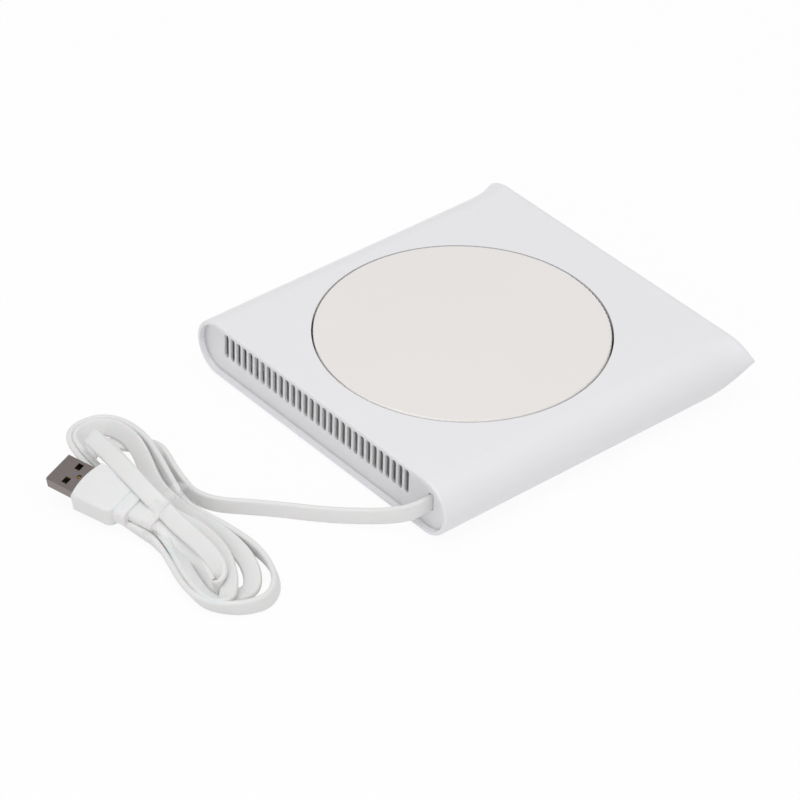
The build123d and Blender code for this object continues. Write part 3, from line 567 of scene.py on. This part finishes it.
LANE_WAY = Vector((cos(radians(3)), -sin(radians(3)), 0))     # how the cords run through the strap


def value_along(values, share):
    """Value at a share (0 to 1) of the way through evenly spaced stations."""
    place = share * (len(values) - 1)
    i = min(int(place), len(values) - 2)
    return values[i] + (values[i + 1] - values[i]) * (place - i)


def lane(across, lift, lean, travel):
    """Two control points where the cord passes the strap, travel is +1 to the right, -1 to the left."""
    lean = radians(lean)
    height = CORD_W / 2 * cos(lean) + CORD_T / 2 * abs(sin(lean)) + lift
    middle = TIE_AT + ACROSS_TIE * across + UP * height
    outward = ACROSS_TIE * (-travel)
    return [(middle + LANE_WAY * step * travel, edge_up(lean, outward)) for step in (-LANE_STEP, LANE_STEP)]


def half_turn(lobe, insets, lifts, leans):
    """Control points of one half turn round a lobe."""
    outline = [Vector((x, y, 0)) for x, y in lobe]
    last = len(outline) - 1
    line = []
    for i, point in enumerate(outline):
        outward = right_hand(outline[max(i - 1, 0)], outline[min(i + 1, last)])
        inset, lift, lean = [value_along(values, i / last) for values in (insets, lifts, leans)]
        lean = radians(lean)
        height = CORD_W / 2 * cos(lean) + CORD_T / 2 * abs(sin(lean)) + lift
        line.append((point - outward * inset + UP * height, edge_up(lean, outward)))
    return line


def hank_points():
    """Five half turns, each followed by its lane through the strap."""
    line = lane(-10.4, 0.0, 24, +1)
    for lobe, insets, lifts, leans, (across, lift, lean) in HALF_TURNS:
        line += half_turn(lobe, insets, lifts, leans)
        line += lane(across, lift, lean, +1 if lobe is LEFT_LOBE else -1)
    return line


print("hank:", len(hank_points()), "points in", len(HALF_TURNS), "half turns")

# %% The fold on top and the way into the plug
# (x, y, z, lean of the upper edge away from the viewer in degrees)
TOP_FOLD = [
    (-4.2, -130.5, 10.3, 58),
    (-14.9, -130.6, 12.8, 56),
    (-28.3, -128.0, 11.8, 56),
    (-35.5, -126.5, 10.5, 56),
    (-40.6, -126.8, 10.3, 56),
    (-41.4, -127.6, 12.0, 58),
    (-36.0, -128.7, 12.6, 58),
    (-28.3, -129.9, 13.7, 58),
    (-14.9, -131.9, 14.8, 60),
    (-4.2, -132.2, 12.8, 56),
    (3.7, -131.3, 10.4, 54),
    (9.5, -131.5, 9.4, 53),
    (16.5, -131.2, 8.6, 53),
    (23.5, -131.3, 8.1, 53),
    (29.2, -131.9, 7.6, 50),
    (34.6, -133.2, 6.7, 42),
    (38.0, -136.0, 4.8, 22),
    (37.6, -138.4, 3.8, 16),
    (32.0, -136.6, 3.3, 22),
    (25.0, -134.2, 3.4, 28),
    (16.0, -132.8, 4.5, 48),
    (8.0, -133.8, 6.2, 78),
    (3.0, -134.7, 7.3, 92),
    (-1.8, -136.0, 7.6, 96),
]
AWAY = Vector((-0.12, 0.99, 0)).normalized()


def fold_points():
    """Control points of the loose strand on top, whose upper edge leans away from the viewer."""
    return [(Vector(row[:3]), edge_up(radians(row[3]), AWAY)) for row in TOP_FOLD]


CORD_LINE = free_points(FREE_STRETCH) + hank_points() + fold_points()
print("cord:", len(CORD_LINE), "control points")

# %% [markdown]
# ## The body of the cord
#
# Blender draws both splines for us: a curve with no bevel, turned into a mesh, is a row of points
# along the smooth line. The cord's section starts as a rectangle whose four corners are beveled. It
# is then extruded step by step along those points and turned to face along the line each time, so
# the result is one closed tube with rounded edges.

# %% Read smooth lines from the splines


def smooth_line(points):
    """Points along the NURBS spline that has the given control points, in metres."""
    curve = bpy.data.curves.new("line", "CURVE")
    curve.dimensions, curve.resolution_u = "3D", STEPS_PER_POINT
    spline = curve.splines.new("NURBS")
    spline.points.add(len(points) - 1)
    for control, point in zip(spline.points, points):
        control.co = (*(point * MM), 1.0)
    spline.order_u = 3
    spline.use_endpoint_u = True
    holder = bpy.data.objects.new("line", curve)
    drawn = bpy.data.meshes.new_from_object(holder)
    samples = [vertex.co.copy() for vertex in drawn.vertices]
    bpy.data.objects.remove(holder)
    bpy.data.curves.remove(curve)
    bpy.data.meshes.remove(drawn)
    return samples


centre_line = smooth_line([place for place, edge in CORD_LINE])
edge_line = smooth_line([place + edge * CORD_W / 2 for place, edge in CORD_LINE])

# %% Extrude the section along them


def new_piece(name, bm, smooth=True):
    """Object made from a bmesh, with smooth shading."""
    mesh = bpy.data.meshes.new(name)
    bm.to_mesh(mesh)
    bm.free()
    if smooth:
        mesh.shade_smooth()
    piece = bpy.data.objects.new(name, mesh)
    bpy.context.scene.collection.objects.link(piece)
    return piece


def rounded_rectangle(bm, width, height, corner, segments):
    """Flat face in the local X-Y plane with rounded corners."""
    corners = [bm.verts.new((sx * width / 2, sy * height / 2, 0))
               for sx, sy in ((-1, -1), (1, -1), (1, 1), (-1, 1))]
    bm.faces.new(corners)
    bmesh.ops.bevel(bm, geom=corners, offset=corner, offset_type="OFFSET", affect="VERTICES",
                    segments=segments, profile=0.5, material=-1)
    bm.faces.ensure_lookup_table()
    return bm.faces[0]


def frames_along(centres, edges):
    """A matrix for each sample: X to the cord's upper edge, Z along the cord."""
    result = []
    last = len(centres) - 1
    for i, centre in enumerate(centres):
        ahead = (centres[min(i + 1, last)] - centres[max(i - 1, 0)]).normalized()
        edge = edges[i] - centre
        edge = (edge - ahead * edge.dot(ahead)).normalized()
        turned = Matrix((edge, ahead.cross(edge), ahead)).transposed().to_4x4()
        result.append(Matrix.Translation(centre) @ turned)
    return result


def sweep_section(face_maker, frames):
    """Extrude a flat face from frame to frame into a closed tube."""
    bm = bmesh.new()
    face = face_maker(bm)
    bmesh.ops.transform(bm, matrix=frames[0], verts=face.verts)
    for i, (before, after) in enumerate(zip(frames, frames[1:])):
        grown = bmesh.ops.extrude_face_region(bm, geom=[face])
        if i:       # only the two ends of the tube keep a face across them
            bmesh.ops.delete(bm, geom=[face], context="FACES_ONLY")
        face = next(g for g in grown["geom"] if isinstance(g, bmesh.types.BMFace))
        bmesh.ops.transform(bm, matrix=after @ before.inverted(), verts=face.verts)
    bmesh.ops.recalc_face_normals(bm, faces=bm.faces)
    return bm


def cord_section(bm):
    return rounded_rectangle(bm, CORD_W * MM, CORD_T * MM, CORD_R * MM, 4)


cord = new_piece("usb_cord", sweep_section(cord_section, frames_along(centre_line, edge_line)))
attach(cord, "root")
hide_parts("cord_lead", "cord_hank")
dress(cord, "white_pvc")
print("cord faces", len(cord.data.polygons))

# %% [markdown]
# ## The strap
#
# A thin band of clear film holds the hank at its waist. It is tight over the top, where it is
# drawn together, and spreads where it goes down the sides. It is made as a rounded rectangle that is
# extruded along its axis, opened at both ends, and given its thickness by a Solidify modifier.

# %% Strap
TIE_SPAN, TIE_TOP, TIE_CORNER = 22.6, 13.2, 4.2
TIE_FILM = 0.35
TIE_HALF_TOP, TIE_HALF_FOOT = 2.3, 3.3      # half widths of the band on top and at the table
TIE_STEP = 4.0                              # longest edge in the band, in mm
TIE_DRIFT = -1.8                            # how far the top sits to the left of the foot


def make_tie():
    bm = bmesh.new()
    face = rounded_rectangle(bm, TIE_SPAN * MM, TIE_TOP * MM, TIE_CORNER * MM, 6)
    grown = bmesh.ops.extrude_face_region(bm, geom=[face])
    far_end = [g for g in grown["geom"] if isinstance(g, bmesh.types.BMVert)]
    bmesh.ops.translate(bm, verts=far_end, vec=(0, 0, 1.0))
    caps = [f for f in bm.faces if abs(f.normal.z) > 0.9]
    bmesh.ops.delete(bm, geom=caps, context="FACES_ONLY")
    for vertex in bm.verts:
        height = vertex.co.y / MM + TIE_TOP / 2
        share = height / TIE_TOP
        half = TIE_HALF_FOOT + (TIE_HALF_TOP - TIE_HALF_FOOT) * share
        along = TIE_DRIFT * share + (half if vertex.co.z > 0.5 else -half)
        place = TIE_AT + ACROSS_TIE * (vertex.co.x / MM) + UP * height + ALONG_TIE * along
        vertex.co = place * MM
    bmesh.ops.subdivide_edges(bm, edges=[e for e in bm.edges if e.calc_length() > TIE_STEP * MM], cuts=6)
    bmesh.ops.recalc_face_normals(bm, faces=bm.faces)
    tie = new_piece("clear_strap", bm)
    wall = tie.modifiers.new("film", "SOLIDIFY")
    wall.thickness, wall.offset = TIE_FILM * MM, -1.0
    return tie


tie = make_tie()
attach(tie, "root")
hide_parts("hank_tie")
dress(tie, "clear_film")
print("strap", TIE_SPAN, "by", TIE_TOP, "mm")

# %% [markdown]
# ## The plug's moulding
#
# The white moulding is a soft block with a bulging front, rounded back corners, a neck and a stem
# that holds the cord. It starts as a plan of a few points, which is extruded to its height, and its
# rims are beveled, as the mould would round them. The neck and the stem are the same section
# function as the cord's, swept straight back.

# %% Moulding
PLUG_TIP = Vector((-36.3, -144.3, 10.5))
PLUG_AXIS = Vector((0.972, 0.236, -0.018)).normalized()
PLUG_UP = Vector((0.067, -0.207, 0.976))
SHELL_OUT, SHELL_H = 12.1, 4.5
MOULD_W, MOULD_H, MOULD_TOP, MOULD_END = 16.2, 7.9, 1.3, 28.0
MOULD_BULGE, MOULD_TAPER, MOULD_BACK_R, MOULD_RIM = 1.4, 0.5, 3.2, 0.9
NECK = (12.8, 6.3, 27.0, 32.2, 2.2)         # width, height, start, end and corner
STEM = (8.4, 4.2, 31.0, 41.5, 1.7)
BAR_ROUND = 0.5                             # rounding of the ends of both


def plug_matrix():
    """From the plug's own millimetres (x back from the tip, z up from the shell's top) to metres."""
    up = (PLUG_UP - PLUG_AXIS * PLUG_UP.dot(PLUG_AXIS)).normalized()
    turned = Matrix((PLUG_AXIS, up.cross(PLUG_AXIS), up)).transposed().to_4x4()
    return Matrix.Translation(PLUG_TIP * MM) @ turned @ Matrix.Scale(MM, 4)


def mould_block(bm):
    """Body of the moulding."""
    half = MOULD_W / 2
    front = [(SHELL_OUT - MOULD_BULGE * (1 - (t / 3) ** 2), half * t / 3) for t in range(-3, 4)]
    back = [(MOULD_END, half - MOULD_TAPER), (MOULD_END, -half + MOULD_TAPER)]
    low = MOULD_TOP - MOULD_H
    rim = [bm.verts.new((x, y, low)) for x, y in front + back]
    face = bm.faces.new(rim)
    grown = bmesh.ops.extrude_face_region(bm, geom=[face])
    top = [g for g in grown["geom"] if isinstance(g, bmesh.types.BMVert)]
    bmesh.ops.translate(bm, verts=top, vec=(0, 0, MOULD_H))
    corners = [e for e in bm.edges if all(abs(v.co.x - MOULD_END) < 1e-4 for v in e.verts)
               and abs(e.verts[0].co.z - e.verts[1].co.z) > 1]
    bmesh.ops.bevel(bm, geom=corners, offset=MOULD_BACK_R, offset_type="OFFSET", affect="EDGES",
                    segments=8, profile=0.5, material=-1)
    rims = [e for e in bm.edges if abs(e.verts[0].co.z - e.verts[1].co.z) < 1e-4]
    bmesh.ops.bevel(bm, geom=rims, offset=MOULD_RIM, offset_type="OFFSET", affect="EDGES",
                    segments=4, profile=0.5, material=-1)


def straight_bar(width, height, start, end, corner):
    """Rounded bar along the plug's axis."""
    bm = bmesh.new()
    face = rounded_rectangle(bm, width, height, corner, 6)
    grown = bmesh.ops.extrude_face_region(bm, geom=[face])
    far_end = [g for g in grown["geom"] if isinstance(g, bmesh.types.BMVert)]
    bmesh.ops.translate(bm, verts=far_end, vec=(0, 0, end - start))
    ends = [e for e in bm.edges if abs(e.verts[0].co.z - e.verts[1].co.z) < 1e-4]
    bmesh.ops.bevel(bm, geom=ends, offset=BAR_ROUND, offset_type="OFFSET", affect="EDGES",
                    segments=3, profile=0.5, material=-1)
    stand = Matrix(((0, 0, 1, start), (1, 0, 0, 0), (0, 1, 0, -SHELL_H / 2), (0, 0, 0, 1)))
    bmesh.ops.transform(bm, matrix=stand, verts=bm.verts)
    return bm


def make_moulding():
    bm = bmesh.new()
    mould_block(bm)
    for size in (NECK, STEM):
        bar = straight_bar(*size)
        part = bpy.data.meshes.new("bar")
        bar.to_mesh(part)
        bar.free()
        bm.from_mesh(part)
        bpy.data.meshes.remove(part)
    bmesh.ops.transform(bm, matrix=plug_matrix(), verts=bm.verts)
    bmesh.ops.recalc_face_normals(bm, faces=bm.faces)
    piece = new_piece("plug_moulding", bm)
    piece.data.set_sharp_from_angle(angle=radians(40))
    return piece


moulding = make_moulding()
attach(moulding, "root")
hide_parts("usb_overmould")
dress(moulding, "white_tpe")
print("plug moulding faces", len(moulding.data.polygons))

# %% [markdown]
# ## Springs and leads that give way
#
# The heating plate sinks a little when a mug stands on it. Three coil springs under it are
# squeezed, and the thin leads that cross the same gap flex. A spring is one small circle, spun round
# its post while it climbs.

# %% Springs
SPRING_WIRE, SPRING_R, SPRING_TURNS = 0.7, 4.6, 5.5
SPRING_Z0, SPRING_Z1 = 3.0, 15.7
POST_R, POST_ANGLES = 38.0, (90, 210, 330)
PLATE_Y = -4.65
TURN_STEPS = 24


def make_springs():
    bm = bmesh.new()
    rise = SPRING_Z1 - SPRING_Z0 - SPRING_WIRE
    steps = int(SPRING_TURNS * TURN_STEPS)
    for angle in POST_ANGLES:
        post = Vector((POST_R * cos(radians(angle)), PLATE_Y + POST_R * sin(radians(angle)), 0))
        start = post + Vector((SPRING_R, 0, SPRING_Z0 + SPRING_WIRE / 2))
        ring = bmesh.ops.create_circle(bm, cap_ends=True, segments=8, radius=SPRING_WIRE / 2 * MM,
                                       matrix=Matrix.Translation(start * MM) @ Matrix.Rotation(pi / 2, 4, "X"))
        disc = ring["verts"][0].link_faces[0]
        bmesh.ops.spin(bm, geom=list(disc.verts) + list(disc.edges) + [disc], cent=post * MM,
                       axis=(0, 0, 1), dvec=(0, 0, rise / steps * MM),
                       angle=2 * pi * SPRING_TURNS, steps=steps)
    bmesh.ops.remove_doubles(bm, verts=bm.verts, dist=1e-7)
    bmesh.ops.recalc_face_normals(bm, faces=bm.faces)
    return new_piece("coil_springs", bm)


springs = make_springs()
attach(springs, "root")
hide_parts("plate_springs")
dress(springs, "spring_steel")
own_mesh(springs)
print("spring faces", len(springs.data.polygons))

# %% Leads across the gap
BOARD_TOP = 6.2
HEATER_Z0 = 19.2
LEAD_BOW = 0.5              # how far a lead bows sideways at its middle
LEAD_SIDES, LEAD_CUTS = 12, 10


def make_leads(name, diameter, feet, top):
    """Upright leads with a slight bow, so that they look soft."""
    bm = bmesh.new()
    for x, y in feet:
        made = bmesh.ops.create_cone(bm, cap_ends=True, segments=LEAD_SIDES, radius1=diameter / 2 * MM,
                                     radius2=diameter / 2 * MM, depth=(top - BOARD_TOP) * MM,
                                     matrix=Matrix.Translation(Vector((x, y, (top + BOARD_TOP) / 2)) * MM))
        sides = [e for v in made["verts"] for e in v.link_edges
                 if abs(e.verts[0].co.z - e.verts[1].co.z) > 1 * MM]
        bmesh.ops.subdivide_edges(bm, edges=list(set(sides)), cuts=LEAD_CUTS)
    for vertex in bm.verts:
        share = (vertex.co.z / MM - BOARD_TOP) / (top - BOARD_TOP)
        vertex.co.x += LEAD_BOW * MM * sin(pi * share)
    bmesh.ops.recalc_face_normals(bm, faces=bm.faces)
    return new_piece(name, bm)


LEADS = {   # piece: (node, diameter, feet, top, share of its length kept at full travel)
    "heater_wires": ("heater_leads", 1.2, [(14.5, -16.65), (17.5, -16.65)], HEATER_Z0, 0.9385),
    "sensor_wires": ("sensor_leads", 0.7, [(6.1, 8.35), (7.9, 8.35)], HEATER_Z0 - 1.6, 0.915),
}
for lead_name, (lead_node, lead_d, lead_feet, lead_top, lead_keep) in LEADS.items():
    lead = make_leads(lead_name, lead_d, lead_feet, lead_top)
    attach(lead, "root")
    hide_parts(lead_node)
    dress(lead, slots[lead_node])
    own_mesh(lead)
print("leads:", len(LEADS))
